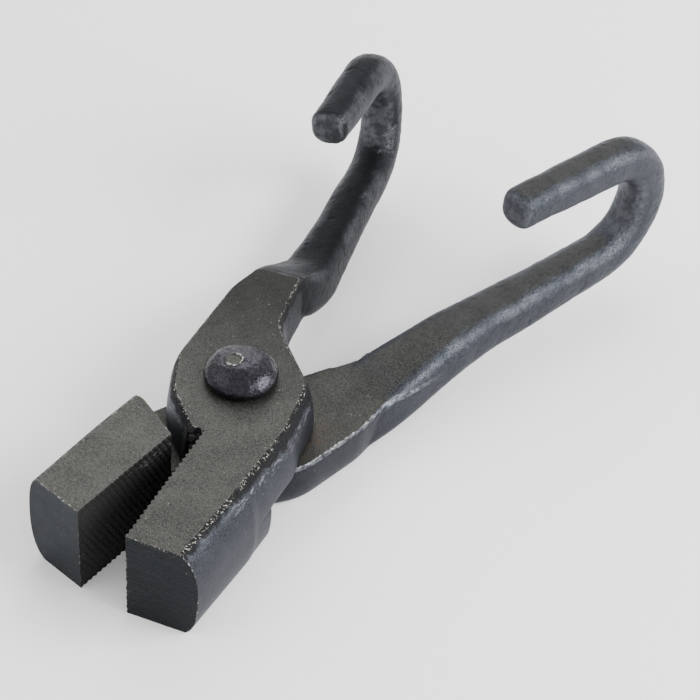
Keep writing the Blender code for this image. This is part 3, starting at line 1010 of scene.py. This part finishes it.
def peened_steel(name):
    """Glossier rivet steel with a violet cast, and a bare burr round the last blow with a painted
    highlight.
    """
    g = Graph(name)
    coords = g.node("ShaderNodeTexCoord").outputs
    own = g.node("ShaderNodeMapping", {"Vector": coords["Object"], "Scale": (1 / MM,) * 3}).outputs[0]
    x, y, z = g.node("ShaderNodeSeparateXYZ", {0: own}).outputs
    away_x = g.plus(x, -BLOW_X)
    away_y = g.plus(y, -BLOW_Y)
    away = g.math("SQRT", g.plus(g.times(away_x, away_x), g.times(away_y, away_y)))
    high = g.rise(z, 2 * HALF_HEIGHT + 7, 2 * HALF_HEIGHT + 8)
    blow = g.times(g.rise(away, BLOW_RADIUS - 0.2, BLOW_RADIUS - 0.5), high)
    burr = g.times(g.span(away, BLOW_RADIUS - 0.35, BLOW_RADIUS + 0.4, 0.25), high)
    grain = g.noise(own, 1.4, 3.0, 0.6)
    specks = g.rise(g.noise(own, 1.2, 3.0, 0.6), 0.45, 0.62)
    # The burr is bare steel, painted bright only on its side towards the key light: a painted
    # highlight.
    bare = g.times(burr, specks, g.rise(away_x, -2.5, 0.5), 0.8)
    tone = g.tint(DOME_TONE, g.plus(g.times(grain, 3.0), -0.5))
    tone = g.mix(blow, tone, g.tint(BLOW_TONE, g.plus(grain, 0.5)))
    tone = g.mix(bare, tone, BURR_TONE)
    rough = g.plus(g.times(grain, 0.32), 0.03)
    strength, distance = PEENED_BUMP
    return g.finished(tone, rough, grain, strength, distance * MM)


upper_steel = forged_steel(
    "upper_arm_steel", 1, UPPER_OUTLINE[0][0], flat_shade_gains=(0.80, 0.34), flat_shade_change=(-20.0, 50.0),
    side_shade_gains=(0.66, 0.17), front_shade_gain=0.24, handle_shade_cast=1.0,
)
lower_steel = forged_steel(
    "lower_arm_steel", -1, LOWER_OUTLINE[0][0], flat_shade_gains=(0.92, 0.60), flat_shade_change=(-45.0, -20.0),
    side_shade_gains=(0.44, 0.85), front_shade_gain=0.42, handle_shade_cast=0.2,
)
for piece, steel in ((upper, upper_steel), (lower, lower_steel), (rivet, peened_steel("rivet_steel"))):
    piece.data.materials.clear()
    piece.data.materials.append(steel)

for piece, body, node, slot in (
    (upper, "upper", "upper_arm", "upper_arm_steel"),
    (lower, "lower", "lower_arm", "lower_arm_steel"),
    (rivet, "lower", "pivot_rivet", "rivet_steel"),
):
    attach(piece, body)
    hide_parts(node)


# Stage, light and camera

# The camera fitted to the photograph: degrees, millimetres, and a focal length for its 700 pixels.
ELEVATION = 42.437
ROLL = -4.235
BEARING = 28.177
SHIFT_RIGHT = -39.218
SHIFT_UP = -27.465
DISTANCE = 821.238
FOCAL_PIXELS = 2200
FRAME_PIXELS = 700
SENSOR = 36.0
CLIP_END = 20

FLOOR_SIZE = 6.0
FLOOR_TONE = (0.93, 0.93, 0.93, 1)
FLOOR_ROUGHNESS = 0.9
FLOOR_SPECULAR = 0.1
WORLD_STRENGTH = 1.2

# Names, places and sizes in metres, and powers. All of them point at the foot of the pivot axis.
LIGHTS = (
    ("key", (1.3, 0.5, 0.9), (1.2, 1.0), 54),
    ("back", (-0.8, 1.2, 1.2), (1.4, 1.0), 18),
    ("fill", (-1.0, -0.6, 1.2), (1.4, 1.0), 6),
)


def floor():
    """The plain pale floor."""
    mesh = bpy.data.meshes.new("floor")
    bm = bmesh.new()
    bmesh.ops.create_grid(bm, x_segments=1, y_segments=1, size=FLOOR_SIZE)
    bm.to_mesh(mesh)
    bm.free()
    material = bpy.data.materials.new("floor_white")
    material.use_nodes = True
    shader = material.node_tree.nodes["Principled BSDF"]
    shader.inputs["Base Color"].default_value = FLOOR_TONE
    shader.inputs["Roughness"].default_value = FLOOR_ROUGHNESS
    shader.inputs["Specular IOR Level"].default_value = FLOOR_SPECULAR
    mesh.materials.append(material)
    thing = link("floor", mesh)


def area_light(name, spot, size, power):
    """A soft light that points at the origin."""
    data = bpy.data.lights.new(name, "AREA")
    data.shape = "RECTANGLE"
    data.size, data.size_y = size
    data.energy = power
    thing = link(name, data)
    thing.location = spot
    thing.rotation_euler = (-Vector(spot)).to_track_quat("-Z", "Y").to_euler()


def camera():
    """The scene's camera, which sees the tongs as the photograph does."""
    data = bpy.data.cameras.new("camera")
    data.sensor_width = SENSOR
    data.lens = FOCAL_PIXELS / FRAME_PIXELS * SENSOR
    data.clip_end = CLIP_END
    thing = link("camera", data)
    elevation = radians(ELEVATION)
    roll = radians(ROLL)
    level = Vector((1, 0, 0))
    rise = Vector((0, sin(elevation), cos(elevation)))
    look = Vector((0, cos(elevation), -sin(elevation)))
    right = level * cos(roll) - rise * sin(roll)
    up = level * sin(roll) + rise * cos(roll)
    matrix = Matrix((right, up, -look)).transposed().to_4x4()
    matrix.translation = -level * SHIFT_RIGHT - rise * SHIFT_UP - look * DISTANCE
    matrix = Matrix.Rotation(radians(BEARING), 4, "Z") @ matrix
    matrix.translation.z += HALF_HEIGHT
    matrix.translation *= MM
    thing.matrix_world = matrix
    bpy.context.scene.camera = thing


def world():
    """Even white light from all round."""
    studio = bpy.data.worlds.new("studio")
    bpy.context.scene.world = studio
    studio.use_nodes = True
    background = studio.node_tree.nodes["Background"]
    background.inputs["Color"].default_value = (1, 1, 1, 1)
    background.inputs["Strength"].default_value = WORLD_STRENGTH


floor()
camera()
world()
for light in LIGHTS:
    area_light(*light)
